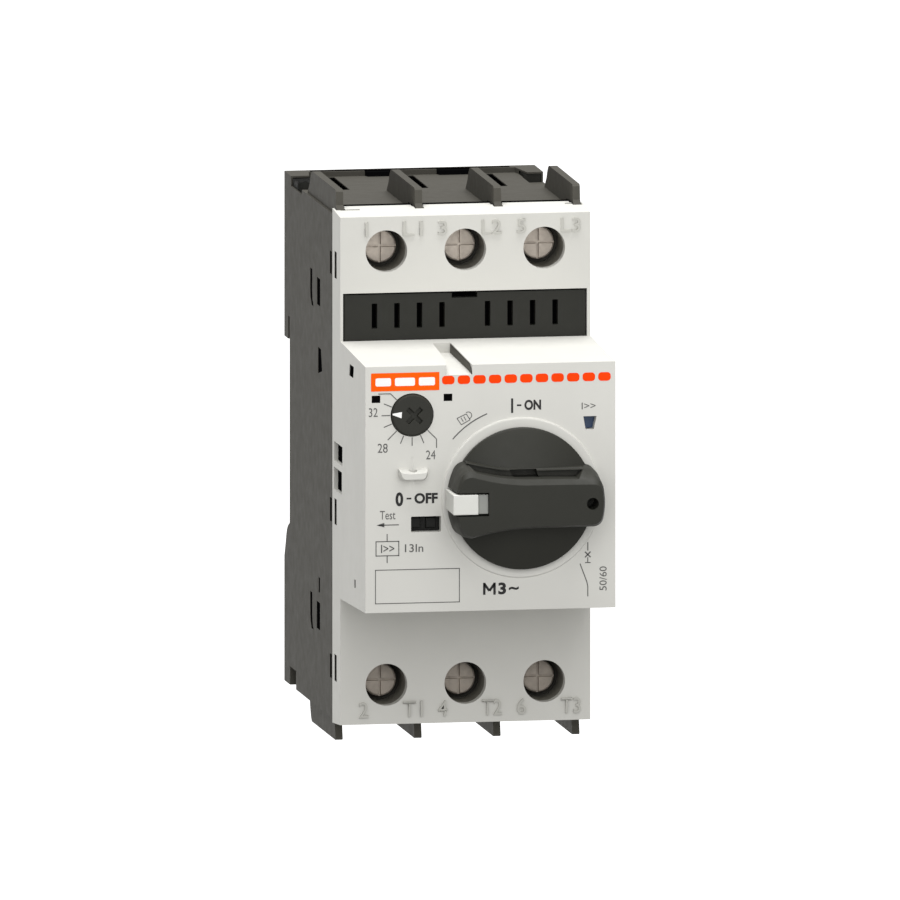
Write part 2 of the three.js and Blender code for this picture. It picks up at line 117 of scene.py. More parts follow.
def loft(rings, name="loft"):
    """A closed solid through rings of equal length."""
    bm = bmesh.new()
    rows = [[bm.verts.new(point) for point in ring] for ring in rings]
    for lower, upper in zip(rows, rows[1:]):
        for i in range(len(lower)):
            j = (i + 1) % len(lower)
            bm.faces.new((lower[i], lower[j], upper[j], upper[i]))
    bm.faces.new(rows[0])
    bm.faces.new(rows[-1])
    return solid(name, bm)


def prism(points, axis, low, high):
    """An outline swept straight along one axis."""
    lift = LIFT[axis]
    return loft([[lift(u, v, w) for u, v in points] for w in (low, high)])


def box(x, y, z):
    return prism([(x[0], z[0]), (x[1], z[0]), (x[1], z[1]), (x[0], z[1])], "y", *y)


def circle(u, v, radius, sides):
    step = 2 * math.pi / sides
    return [(u + radius * math.cos(i * step), v + radius * math.sin(i * step)) for i in range(sides)]


def arc(u, v, radius, first, last, steps):
    """Points along an arc, angles in degrees."""
    out = []
    for i in range(steps + 1):
        angle = math.radians(first + (last - first) * i / steps)
        out.append((u + radius * math.cos(angle), v + radius * math.sin(angle)))
    return out


def turned(u, v, profile, axis="y", sides=64):
    """A round solid: profile is a list of (radius, place along the axis)."""
    lift = LIFT[axis]
    return loft([[lift(a, b, w) for a, b in circle(u, v, radius, sides)] for radius, w in profile])


def bezier(p0, p1, p2, steps):
    """Points along a curve from p0 to p2 bent towards p1, without p0."""
    out = []
    for i in range(1, steps + 1):
        t = i / steps
        a, b, c = (1 - t) ** 2, 2 * t * (1 - t), t * t
        out.append((a * p0[0] + b * p1[0] + c * p2[0], a * p0[1] + b * p1[1] + c * p2[1]))
    return out


def rounded(x, z, radius, steps=4):
    """Outline of a rectangle with round corners."""
    corners = [(x[1] - radius, z[1] - radius, 0), (x[0] + radius, z[1] - radius, 90),
               (x[0] + radius, z[0] + radius, 180), (x[1] - radius, z[0] + radius, 270)]
    out = []
    for u, v, first in corners:
        out += arc(u, v, radius, first, first + 90, steps)
    return out


def bake(obj):
    """Applies the modifiers of a piece."""
    depsgraph = bpy.context.evaluated_depsgraph_get()
    mesh = bpy.data.meshes.new_from_object(obj.evaluated_get(depsgraph))
    old = obj.data
    obj.modifiers.clear()
    obj.data = mesh
    bpy.data.meshes.remove(old)
    return obj


def combine(base, tools, operation):
    """One boolean of a base with several tools, which it uses up."""
    group = bpy.data.collections.new("tools")
    for tool in tools:
        group.objects.link(tool)
    modifier = base.modifiers.new("combine", "BOOLEAN")
    modifier.operation = operation
    modifier.operand_type = "COLLECTION"
    modifier.collection = group
    modifier.solver = "EXACT"
    bake(base)
    for tool in tools:
        bpy.data.objects.remove(tool)
    bpy.data.collections.remove(group)
    return base


def add(base, *tools):
    return combine(base, list(tools), "UNION")


def cut(base, *tools):
    return combine(base, list(tools), "DIFFERENCE")


def moved(obj, x, z):
    obj.data.transform(Matrix.Translation((x, 0, z)))
    return obj


def soften(obj, width, segments=2, angle=35):
    """Joins coplanar faces and rounds the edges; an edge with short neighbours is rounded less."""
    bm = bmesh.new()
    bm.from_mesh(obj.data)
    bmesh.ops.remove_doubles(bm, verts=bm.verts, dist=0.004)
    bmesh.ops.dissolve_limit(bm, angle_limit=math.radians(0.6), verts=bm.verts, edges=bm.edges)
    weight = bm.edges.layers.float.new("bevel_weight_edge")
    for edge in bm.edges:
        if len(edge.link_faces) != 2 or edge.calc_face_angle(0) < math.radians(angle):
            continue
        room = 4 * width
        for vert in edge.verts:
            along = (edge.other_vert(vert).co - vert.co).normalized()
            for near in vert.link_edges:
                if near is not edge:
                    away = (near.other_vert(vert).co - vert.co).normalized()
                    if abs(along.dot(away)) < 0.9:
                        room = min(room, near.calc_length())
        edge[weight] = min(1.0, 0.42 * room / width)
    bm.to_mesh(obj.data)
    bm.free()
    bevel = obj.modifiers.new("edges", "BEVEL")
    bevel.width = width
    bevel.segments = segments
    bevel.limit_method = "WEIGHT"
    bevel.use_clamp_overlap = True
    return bake(obj)


def shade(mesh, limit=50):
    """Smooth normals weighted by area, so that flat faces stay flat beside their rounded edges."""
    around = [[] for _ in mesh.vertices]
    faces = [(face.normal.copy(), face.area) for face in mesh.polygons]
    for face in mesh.polygons:
        for vertex in face.vertices:
            around[vertex].append(faces[face.index])
    least = math.cos(math.radians(limit))
    normals = []
    for face in mesh.polygons:
        own = faces[face.index][0]
        for vertex in face.vertices:
            total = Vector()
            for normal, area in around[vertex]:
                if own.dot(normal) > least:
                    total += normal * area
            normals.append(total.normalized() if total.length else own)
    mesh.polygons.foreach_set("use_smooth", [True] * len(mesh.polygons))
    free = mesh.attributes.new("custom_normal", "FLOAT_VECTOR", "CORNER")
    free.data.foreach_set("vector", [value for normal in normals for value in normal])
    mesh.update()


def finish(obj, name, material, body, stands_for=()):
    """Scales a piece to metres and hands it to the frame."""
    shade(obj.data)
    obj.data.transform(Matrix.Scale(MM, 4))
    obj.name = name
    obj.data.name = name
    obj.data.materials.clear()
    obj.data.materials.append(material)
    for face in obj.data.polygons:
        face.material_index = 0
    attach(obj, body)
    if stands_for:
        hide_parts(*stands_for)
    return obj


def join(objects):
    """Several loose solids as one object."""
    bm = bmesh.new()
    for obj in objects:
        mesh = obj.data
        bm.from_mesh(mesh)
        bpy.data.objects.remove(obj)
        bpy.data.meshes.remove(mesh)
    return solid("joined", bm)


# ---- materials ----


def linear(red, green, blue):
    """A screen colour as linear values."""
    out = []
    for value in (red, green, blue):
        c = value / 255
        out.append(c / 12.92 if c <= 0.04045 else ((c + 0.055) / 1.055) ** 2.4)
    return out


class Nodes:
    """A small wrapper that adds and links shader nodes."""

    def __init__(self, name):
        self.material = bpy.data.materials.new(name)
        self.material.use_nodes = True
        self.tree = self.material.node_tree
        self.shader = self.tree.nodes["Principled BSDF"]

    def make(self, kind, inputs=(), **settings):
        node = self.tree.nodes.new(kind)
        for key, value in settings.items():
            setattr(node, key, value)
        for key, value in dict(inputs).items():
            if isinstance(value, bpy.types.NodeSocket):
                self.tree.links.new(value, node.inputs[key])
            else:
                node.inputs[key].default_value = value
        return node

    def feed(self, socket, output):
        self.tree.links.new(output, self.shader.inputs[socket])

    def noise(self, where, size_mm, detail=3.0, rough=0.55):
        inputs = {"Vector": where, "Scale": 1 / (size_mm * MM), "Detail": detail, "Roughness": rough}
        return self.make("ShaderNodeTexNoise", inputs).outputs["Fac"]

    def spread(self, value, low, high):
        """Maps a noise value's useful range to low..high."""
        inputs = {"Value": value, "From Min": 0.3, "From Max": 0.7, "To Min": low, "To Max": high}
        return self.make("ShaderNodeMapRange", inputs).outputs["Result"]

    def mix(self, factor, first, second):
        node = self.make("ShaderNodeMix", data_type="RGBA")
        self.tree.links.new(factor, node.inputs["Factor"])
        # The colour sockets of this node come after its float and vector ones
        node.inputs[6].default_value = (*first, 1)
        node.inputs[7].default_value = (*second, 1)
        return node.outputs[2]


def plastic(name, colour, roughness, mottle=0.04, grain=0.12, grain_size=0.16, specular=0.4):
    """Moulded plastic: faint flow mottling, uneven gloss and a fine spark-eroded grain."""
    n = Nodes(name)
    where = n.make("ShaderNodeTexCoord").outputs["Object"]
    flow = n.spread(n.noise(where, 9, 4), 0, 1)
    darker = [c * (1 - mottle) for c in colour]
    lighter = [c * (1 + mottle) for c in colour]
    n.feed("Base Color", n.mix(flow, darker, lighter))
    gloss = n.noise(where, 2.2, 5)
    n.feed("Roughness", n.spread(gloss, roughness - 0.05, roughness + 0.06))
    fine = n.noise(where, grain_size, 2)
    broad = n.noise(where, 6, 2)
    height = n.make("ShaderNodeMath", {0: broad, 1: 0.6, 2: fine}, operation="MULTIPLY_ADD")
    bump = n.make("ShaderNodeBump", {"Height": height.outputs[0], "Strength": grain, "Distance": 0.03 * MM})
    n.feed("Normal", bump.outputs["Normal"])
    n.shader.inputs["Specular IOR Level"].default_value = specular
    return n.material


def metal(name, colour, roughness, ring_mm=0.0, scratch=0.25, metallic=1.0):
    """Plated or bare metal with fine drawn lines, or turned rings about the piece's middle."""
    n = Nodes(name)
    coordinates = n.make("ShaderNodeTexCoord")
    where = coordinates.outputs["Object"]
    stain = n.spread(n.noise(where, 1.4, 4), 0, 1)
    n.feed("Base Color", n.mix(stain, [c * 0.86 for c in colour], [min(1, c * 1.1) for c in colour]))
    if ring_mm:
        centred = n.make("ShaderNodeVectorMath", {0: coordinates.outputs["Generated"], 1: (0.5, 0.5, 0.5)},
                         operation="SUBTRACT")
        wave = {"Vector": centred.outputs[0], "Scale": 6 / ring_mm, "Distortion": 0.6}
        rings = n.make("ShaderNodeTexWave", wave, wave_type="RINGS", rings_direction="Y")
        height = rings.outputs["Fac"]
    else:
        stretched = n.make("ShaderNodeMapping", {"Vector": where, "Scale": (1, 1, 0.04)})
        height = n.noise(stretched.outputs["Vector"], 0.12, 3)
    n.feed("Roughness", n.spread(n.noise(where, 0.5, 4), roughness - 0.06, roughness + 0.08))
    bump = n.make("ShaderNodeBump", {"Height": height, "Strength": scratch, "Distance": 0.02 * MM})
    n.feed("Normal", bump.outputs["Normal"])
    n.shader.inputs["Metallic"].default_value = metallic
    return n.material


LIGHT = plastic("light_grey_plastic", linear(206, 205, 199), 0.55, mottle=0.015, grain=0.06, specular=0.2)
DARK = plastic("dark_grey_plastic", linear(76, 74, 68), 0.62, mottle=0.012, grain=0.015, specular=0.12)
SLATE = plastic("slate_plastic", linear(43, 43, 39), 0.55, specular=0.15)
BLACK = plastic("black_plastic", linear(45, 45, 40), 0.5, mottle=0.05, specular=0.18)
TAB_LIGHT = plastic("tab_plastic", linear(208, 208, 202), 0.45)
# Painted shade: the light plastic made grey, as it looks in shade, for the tab's sunken catch and the snap
# slit floors
SHADE_GREY = plastic("painted_shade_grey", linear(140, 141, 136), 0.5)
NAVY = plastic("indicator_plastic", linear(44, 66, 98), 0.35)
# Painted shade: the cover's light plastic made darker for the moulded marks, standing in for the shade along
# their edges
RAISED_SHADED = plastic("raised_mark_painted_shade", linear(186, 185, 178), 0.55, mottle=0.02, grain=0.04, specular=0.2)
# Painted shade: near-black sheets set in openings and hollows where only shade falls
SHADE_BLACK = plastic("painted_shade_black", linear(9, 9, 10), 0.75, specular=0.0)
SLIDER = plastic("slider_plastic", linear(27, 27, 25), 0.5, specular=0.2)
SLEEVE = plastic("sleeve_plastic", linear(112, 110, 102), 0.45, specular=0.3)
THERMOSET = plastic("thermoset_plastic", linear(112, 48, 34), 0.6, mottle=0.12)
ORANGE = plastic("orange_print", linear(248, 92, 2), 0.6, mottle=0.03, grain=0.03, specular=0.08)
RED_ORANGE = plastic("dash_print", linear(242, 64, 0), 0.6, mottle=0.03, grain=0.03, specular=0.08)
INK = plastic("black_print", linear(22, 21, 21), 0.55, mottle=0.08, grain=0.05)
INK_GREY = plastic("grey_print", linear(84, 84, 82), 0.55, mottle=0.08, grain=0.05)
WHITE_INK = plastic("white_print", linear(240, 240, 238), 0.5, mottle=0.02, grain=0.05)
SCREW = metal("plated_screw", linear(192, 182, 170), 0.5, ring_mm=0.5, metallic=0.55)
STEEL = metal("zinc_steel", linear(150, 153, 158), 0.4)
COPPER = metal("bare_copper", linear(196, 122, 84), 0.35)
SILVER = metal("silver_contact", linear(214, 216, 218), 0.3)
SPRING = metal("spring_wire", linear(168, 171, 176), 0.3)

# ---- housing ----


def fin(x, points):
    """A barrier in side profile (y, z), a little thicker at its rear end."""
    rings = []
    for side in (-1, 1):
        ring = []
        for y, z in points:
            rearward = min(1, max(0, (y + 44) / 26))
            ring.append((x + side * (FIN_HALF + FIN_REAR_EXTRA * rearward), y, z))
        rings.append(ring)
    return loft(rings)


def upper_fin(x):
    top = HOUSING_HIGH[2]
    points = [(-15.4, 43), (-15.6, 44.6)]
    points += bezier((-15.6, 44.6), (-16.6, 45.6), (-18.1, 46.8), 4)
    points += bezier((-18.1, 46.8), (-19.6, top), (-21, top), 5)
    points += [(-44.8, top), (-45.2, top - 0.35), (-45.5, 46.7), (-46.1, 46.1)]
    points += [(-46.5, 45.6), (-46.5, 44.4), (-44.3, 44.4), (-44.3, 43)]
    return fin(x, points)


def lower_fin(x):
    low = HOUSING_LOW[2] - 0.35
    points = [(-18, -44), (-18.2, BASE_BOTTOM)]
    points += bezier((-18.2, BASE_BOTTOM), (-19.4, low), (-20.6, low), 5)
    points += [(-44.6, low), (-44.9, low + 0.3), (-43.6, -44)]
    return fin(x, points)


def slit(points, half):
    """Outline of an upright slit in a side wall, following (y, z) points."""
    return [(y - half, z) for y, z in points] + [(y + half, z) for y, z in reversed(points)]


# Slits in the side walls, as (y, z) outlines
HOUSING_MARKS = [
    slit([(-22.6, 32.3), (-22.5, 28.5), (-22.8, 27), (-24, 25.8)], 1.1),
    slit([(-30.3, 31.6), (-30.3, 26.7)], 1.7),
    slit([(-22.6, -25.6), (-22.6, -29.5), (-23, -31), (-24, -32.1)], 1.1),
    slit([(-30.1, -26.4), (-30.1, -31.3)], 1.8),
    slit([(-31.1, -21.9), (-31.1, -24.6)], 0.75),
    [(-29.75, 19.2), (-32.8, 19.2), (-34.05, 15.4), (-29.75, 14.5)],
    slit([(-43.2, 38.2), (-43.2, 34.1)], 1.0),
    slit([(-43.2, -5.9), (-43.2, -10.2)], 1.0),
    slit([(-43.2, -33.9), (-43.2, -38.2)], 1.0),
]
COVER_MARKS = [
    slit([(-48, 38.75), (-48, 33.9)], 1.25),
    slit([(-48, -5.5), (-48, -10.2)], 1.25),
    slit([(-48, -33.4), (-48, -38.2)], 1.25),
    [(-67.3, 20.7), (-62.9, 20.7), (-62.3, 18.55), (-66.7, 18.55)],
    slit([(-68.4, -17.2), (-68.4, -18.7)], 0.7),
]
# Snap slits in the cover's top as (x, y) spans, and the windows in its left side
SNAP_SLITS = [([-21.4, -17.9], [-47.1, -46.2]), ([19.2, 22], [-45.9, -45])]
WINDOWS = [
    [(-55.3, 4.7), (-46.6, 4.7), (-46.6, 1.2), (-55.3, 1.2)],
    [(-54.7, 0.1), (-46.4, 0.1), (-46.4, -4), (-54.7, -4)],
]


def side_cutters(outlines, depth, sides=(-1, 1)):
    """Cutters into the side walls."""
    return [prism(outline, "x", *sorted((side * (HALF + PAST), side * (HALF - depth))))
            for outline in outlines for side in sides]


def painted_shade_sheets(outlines, shallow, deep, sides=(-1, 1)):
    """Painted shade: dark sheets at the bottom of side openings, where only shade falls."""
    return [prism(outline, "x", *sorted((side * (HALF - shallow), side * (HALF - deep))))
            for outline in outlines for side in sides]


def make_housing():
    inner = HALF - 1.6
    wide = [-HALF - PAST, HALF + PAST]
    body = box([-HALF, HALF], [SPLIT_Y + 0.15, REAR_Y], [BASE_BOTTOM, BASE_TOP])
    body = add(body, box([-HALF, HALF], [3, REAR_Y], [43, 45.9]))
    corners = []
    for side in (1, -1):
        outline = [(side * HALF, REAR_Y - 0.3), (side * HALF, -3.5), (side * 19.6, -3.5), (side * 18.4, 4)]
        corners.append(prism(outline, "z", 43, 45.9))
    body = add(body, *corners)
    # The hollow, the rail recess and the latch's channel
    body = cut(
        body,
        box([-inner, inner], [SPLIT_Y - PAST, -2], [-43.4, 42.6]),
        box(wide, [0, REAR_Y + PAST], [-16.4, 16.4]),
        box([-9, 9], [1.6, REAR_Y + PAST], [-46, -15]),
    )
    # Space behind the rail seat and the slots beside it
    body = cut(
        body,
        box([-inner, inner], [-3, 3.8], [23, 42.6]),
        box([-inner, -10.6], [-3, 3.8], [-43.4, -23]),
        box([10.6, inner], [-3, 3.8], [-43.4, -23]),
        box(wide, [0, 1.6], [15.4, 20.5]),
        box([-HALF + 0.8, HALF - 0.8], [0, 1.6], [-20.5, -15.4]),
    )
    walls = []
    for x in FIN_X[1:3]:
        wall = box([x - 0.6, x + 0.6], [-42, -1], [-44, 43])
        walls.append(cut(wall, box([x - 1, x + 1], [-43, -17], [-5.5, 5.5])))
    decks = [box([-inner - 0.2, inner + 0.2], [-43.4, -41.6], z) for z in ([32, 43], [-44, -31])]
    body = add(body, *walls)
    body = add(body, *decks)
    for x in FIN_X:
        body = add(body, upper_fin(x), lower_fin(x))
    body = cut(body, *[turned(x, z, [(2.3, -44), (2.3, -41)], sides=24) for _, x, z in TERMINALS])
    # Wire openings, and room for the tongues of the cover
    openings = []
    for x in POLES:
        openings.append(box([x - 4.1, x + 0.1], [-14.1, 2.4], [42, 47]))
        openings.append(box([x - 4.1, x + 0.1], [-14.1, 2.4], [-47, -43]))
        openings.append(box([x - 6.3, x + 6.3], [SPLIT_Y - PAST, -42.3], [43.6, 46]))
    body = cut(body, *openings)
    # Hollow rear corners, a groove along the rear edge and two deep pockets beside it
    hollows = []
    for side, back in ((1, -3.5), (-1, -1.4)):
        hollows.append(box(sorted((side * (HALF + PAST), side * 18.8)), [-12.8, back], [44.1, 47]))
        hollows.append(box(sorted((side * 22.2, side * 18.9)), [-4, 3.2], [43.4, 45.6]))
        hollows.append(box(sorted((side * (HALF + PAST), side * (HALF - 1))), [-6.7, -0.4], [-45.4, -42]))
    hollows.append(box([-18.2, 17.8], [3.4, 5.1], [44.6, 47]))
    for left, right in GROOVE_X:
        hollows.append(prism([(left, 5.1), (left + 1, 1.8), (right, 1.8), (right, 5.1)], "z", 44, 47))
    for x in FIN_X[1:]:
        outline = [(x - 0.3, -45), (x - 1.6, -45), (x - 0.55, -37.5), (x - 0.3, -37.5)]
        hollows.append(prism(outline, "z", 43.9, 46))
    body = cut(body, *hollows)
    # The lower rail shoulder rises in a curve
    shoulder = [(REAR_Y + PAST, -16), (0.4, -16), (0.4, -16.6)]
    shoulder += bezier((0.4, -16.6), (2.9, -17), (3.9, -19.7), 5)
    shoulder += bezier((3.9, -19.7), (4.8, -21.6), (REAR_Y + 0.02, -23), 5) + [(REAR_Y + PAST, -23)]
    body = cut(body, *[prism(shoulder, "x", *sorted((side * (HALF + PAST), side * 9.2))) for side in (-1, 1)])
    body = cut(body, *side_cutters(HOUSING_MARKS, 0.7))
    body = add(body, box([-1.6, 1.6], [1.0, 4.2], [-40.4, -38.2]))
    soften(body, 0.22, 2)
    finish(body, "housing_shell", DARK, "housing", ["rear_housing"])


# ---- front cover ----


def front_prism(points, depth):
    """A cutter into the front of the raised block."""
    return prism(points, "y", BLOCK_Y - PAST, BLOCK_Y + depth)


# Two small square openings beside the dial
SQUARES = [[(x - 0.78, z - 0.66), (x + 0.78, z - 0.66), (x + 0.78, z + 0.66), (x - 0.78, z + 0.66)]
           for x, z in ((-20.6, 16.55), (-7.65, 16.6))]


def tapered(half, levels):
    """A block through levels of (y, lowest z, highest z)."""
    return loft([[(-half, y, low), (half, y, low), (half, y, high), (-half, y, high)]
                 for y, low, high in levels])


def sealing_lug():
    """Its top slopes to the front, and its lower corners are round."""
    rings = []
    for y, wide, low, top in ((BLOCK_Y + 0.3, 2.6, 1.95, 4.15), (BLOCK_Y - 1.3, 2.55, 2.05, 3.9),
                              (BLOCK_Y - 2, 2.3, 2.3, 3.5)):
        left, right = LUG_X - wide, LUG_X + wide
        ring = [(left, top), (left, low + 1)]
        ring += bezier((left, low + 1), (LUG_X - wide * 0.9, low), (LUG_X - wide * 0.6, low), 5)
        ring += [(LUG_X + wide * 0.6, low)]
        ring += bezier((LUG_X + wide * 0.6, low), (LUG_X + wide * 0.9, low), (right, low + 1), 5)
        ring += [(right, top), (LUG_X + wide * 0.35, top - 0.22), (LUG_X - wide * 0.35, top - 0.22)]
        rings.append([(x, y, z) for x, z in ring])
    return loft(rings)


def make_cover():
    inner = HALF - 1.8
    body = tapered(HALF, ((FACE_Y, -45.35, 45.5), (SPLIT_Y - 0.15, -46, 46.1)))
    body = cut(body, box([-inner, inner], [FACE_Y + 2, SPLIT_Y + PAST], [-43.3, 43.3]))
    body = add(body, tapered(HALF, ((FACE_Y + 1, *BLOCK_ROOT), (BLOCK_Y, *BLOCK_TIP))))
    body = cut(body, tapered(inner, ((FACE_Y + 3, -20, 20), (BLOCK_Y + 1.8, -19.4, 19.4))))
    tongue = [(-45.2, 44.2), (-45.2, 46.07), (-43.3, 46.15), (-43.3, 44.2)]
    body = add(body, *[prism(tongue, "x", x - 6, x + 6) for x in POLES])
    well = [(WELL_R, FACE_Y - PAST), (WELL_R, FACE_Y + 4)]
    body = cut(body, *[turned(x, z, well) for _, x, z in TERMINALS])
    notches = [box([x - NOTCH_HALF, x + NOTCH_HALF], [-46.8, SPLIT_Y + PAST], [44, 47]) for x in FIN_X]
    body = cut(body, *notches)
    # Recess of the accessory cover
    body = cut(body, box([-22, 21.9], [FACE_Y - 0.01, FACE_Y + 3], [22.95, 31.87]))
    # Guide channel in the top of the block, widening to the front
    rings = []
    for y, left, floor in ((-56.8, -6.55, 21.4), (-70, -7, 21), (-75, -7.3, 20.9), (-78, -7.7, 20.75),
                           (-80.5, -8.2, 20.5)):
        rings.append([(left, y, floor), (-3.3, y, floor), (-3.3, y, 24), (left, y, 24)])
    body = cut(body, loft(rings))
    # Raised collar round the knob
    collar = [(14.4, BLOCK_Y + 1), (14.4, BLOCK_Y - 0.02), (14.2, BLOCK_Y - 0.35), (13.95, BLOCK_Y - 0.45),
              (12.4, BLOCK_Y - 0.42), (12, BLOCK_Y - 0.3)]
    body = add(body, turned(KNOB_X, KNOB_Z, collar, sides=128))
    # Shaft hole, dial hole, slot of the test slider and window of the indicator
    body = cut(
        body,
        turned(KNOB_X, KNOB_Z, [(4.5, BLOCK_Y - 2), (4.5, BLOCK_Y + 3)], sides=32),
        turned(DIAL_X, DIAL_Z, [(3.88, BLOCK_Y - PAST), (3.88, BLOCK_Y + 3)]),
        front_prism(rounded([-14.3, -8.9], [-7.4, -4.6], 0.2), 3),
        front_prism([(16.7, 12.65), (19.1, 12.65), (18.6, 10.3), (17.1, 10.3)], 3),
    )
    body = cut(body, *[front_prism(square, 1) for square in SQUARES])
    body = add(body, sealing_lug())
    # Upright wire hole through the lug
    body = cut(body, turned(-14.1, BLOCK_Y - 0.75, [(0.82, 0), (0.82, 6)], axis="z", sides=24))
    body = cut(body, *side_cutters(COVER_MARKS, 0.9))
    body = cut(body, *side_cutters(WINDOWS, 2.6, (-1,)))
    body = cut(body, *[box(x, y, [45.2, 47]) for x, y in SNAP_SLITS])
    soften(body, 0.2, 2)
    finish(body, "cover_shell", LIGHT, "housing", ["front_cover"])


def make_painted_shade():
    """Painted shade: dark sheets and blocks behind the openings and in the hollows of both shells, where only
    shade falls.
    """
    # Painted shade in the cover's side slits, its windows and the square openings
    pieces = painted_shade_sheets(COVER_MARKS, 0.12, 0.8) + painted_shade_sheets(WINDOWS, 0.75, 2.5, (-1,))
    pieces += [prism(square, "y", BLOCK_Y + 0.15, BLOCK_Y + 0.9) for square in SQUARES]
    finish(join(pieces), "cover_opening_painted_shade", SHADE_BLACK, "housing")
    # Painted shade: grey floors in the snap slits, the light plastic as it looks in shade
    gap = 0.02
    snaps = [box([x[0] + gap, x[1] - gap], [y[0] + gap, y[1] - gap], [45.1, 45.8]) for x, y in SNAP_SLITS]
    finish(join(snaps), "snap_slit_painted_shade", SHADE_GREY, "housing")
    # Painted shade: a wall of the dark housing plastic on the channel's side, standing in for its shade
    outline = [(-56.9, 21.42), (-56.9, 22.95)] + bezier((-75.3, 22.35), (-79.1, 22.25), (-79.55, 20.7), 6)
    wall = prism(outline, "x", -3.42, -3.25)
    finish(wall, "guide_channel_painted_shade", DARK, "housing")
    # Painted shade: black sheets in the side slits, the rear groove, the gaps behind the tongues and the wire
    # openings
    slit_shades = painted_shade_sheets(HOUSING_MARKS, 0.08, 0.6)
    slit_shades.append(box([-18.1, 17.7], [3.5, 5], [43.2, 45.85]))
    for left, right in GROOVE_X:
        outline = [(left + 0.1, 5), (left + 1.1, 1.9), (right - 0.1, 1.9), (right - 0.1, 5)]
        slit_shades.append(prism(outline, "z", 43.2, 45.8))
    slit_shades += [box([x - 6.2, x + 6.2], [-43.25, -42.6], [43.7, 46.35]) for x in POLES]
    for x in POLES:
        for z in ([42.7, 44.85], [-45.15, -43.5]):
            opening_shade = box([x - 4.05, x + 0.05], [-14.05, 2.35], z)
            core = box([x - 3.95, x - 0.05], [-13.9, 2.2], [z[0] - PAST, z[1] + PAST])
            slit_shades.append(cut(opening_shade, core))
    finish(join(slit_shades), "housing_slit_painted_shade", SHADE_BLACK, "housing")
    # Painted shade: slate blocks filling the rear corner hollows, standing in for their shade
    hollows = [
        box([19, 22.1], [-3.3, 3], [43.5, 45.5]),
        box([-22.1, -19], [-1.3, 3], [43.5, 45.5]),
        box([-22.2, -18.9], [-12.6, -1.5], [43.8, 45.55]),
    ]
    finish(join(hollows), "corner_hollow_painted_shade", SLATE, "housing")


def make_sleeves():
    """Lining of the screw wells behind the cover."""
    sleeves = []
    for _, x, z in TERMINALS:
        outer = turned(x, z, [(WELL_R + 0.8, FACE_Y + 2.05), (WELL_R + 0.8, SPLIT_Y - 0.2)])
        bore = turned(x, z, [(WELL_R + 0.02, FACE_Y + 1), (WELL_R + 0.02, SPLIT_Y + PAST)])
        sleeves.append(cut(outer, bore))
    finish(join(sleeves), "screw_well_sleeves", SLEEVE, "housing")


def make_accessory_cover():
    low, high = span("accessory_cover")
    left, right, top = low[0], high[0], high[2] - 0.18
    face = FACE_Y + 0.25
    outline = [(left, 22.98), (right, 22.98), (right, top), (2.2, top), (2.2, top - 0.9), (-2.4, top - 0.9),
               (-2.4, top), (left, top)]
    plate = prism(outline, "y", face, FACE_Y + 2)
    slots = [first + i * 4.05 for first in (-16.3, 4.05) for i in range(4)]
    cutters = []
    for x in slots:
        outline = rounded([x - 0.5, x + 0.5], [25.45, 29.95], 0.12, 2)
        cutters.append(prism(outline, "y", face - PAST, FACE_Y + 3))
    plate = cut(plate, *cutters)
    for x in (-19.3, 19.3):
        plate = add(plate, box([x - 1.2, x + 1.2], [FACE_Y + 1.9, FACE_Y + 6], [26, 29]))
    soften(plate, 0.12, 2)
    finish(plate, "auxiliary_chamber_cover", SLATE, "housing", ["accessory_cover"])
    # Painted shade: a black wall behind the slots, standing in for the shade of the chamber
    back = box([left + 1.5, right - 1.5], [FACE_Y + 3.2, FACE_Y + 4], [24, 31])
    soften(back, 0.15, 2)
    finish(back, "auxiliary_chamber_painted_shade", SHADE_BLACK, "housing")


# ---- terminal screws ----


SCREW_PROFILE = [(2.0, -11.4), (2.0, -43.9), (2.95, -43.8), (3.05, -45.5), (2.92, -45.85), (2.6, -46)]
SLOT_HALF, SLOT_REACH = 0.2, 3.3


def make_screws():
    for tag, x, z in TERMINALS:
        head = turned(x, z, SCREW_PROFILE)
        for across, along in ((SLOT_HALF, SLOT_REACH), (SLOT_REACH, SLOT_HALF)):
            head = cut(head, moved(box([-across, across], [-47, -45.4], [-along, along]), x, z))
        soften(head, 0.08, 2)
        finish(head, f"combination_screw_{tag}", SCREW, f"screw_{tag}", [f"terminal_screw_{tag}"])


# ---- rotary knob ----


def grip_half(x, left, middle, right):
    """Half width of the grip at x from its axis: a waist that flares to both ends."""
    end = left if x < 0 else right
    return middle + (end - middle) * min(1.0, abs(x) / 11.2) ** 1.9


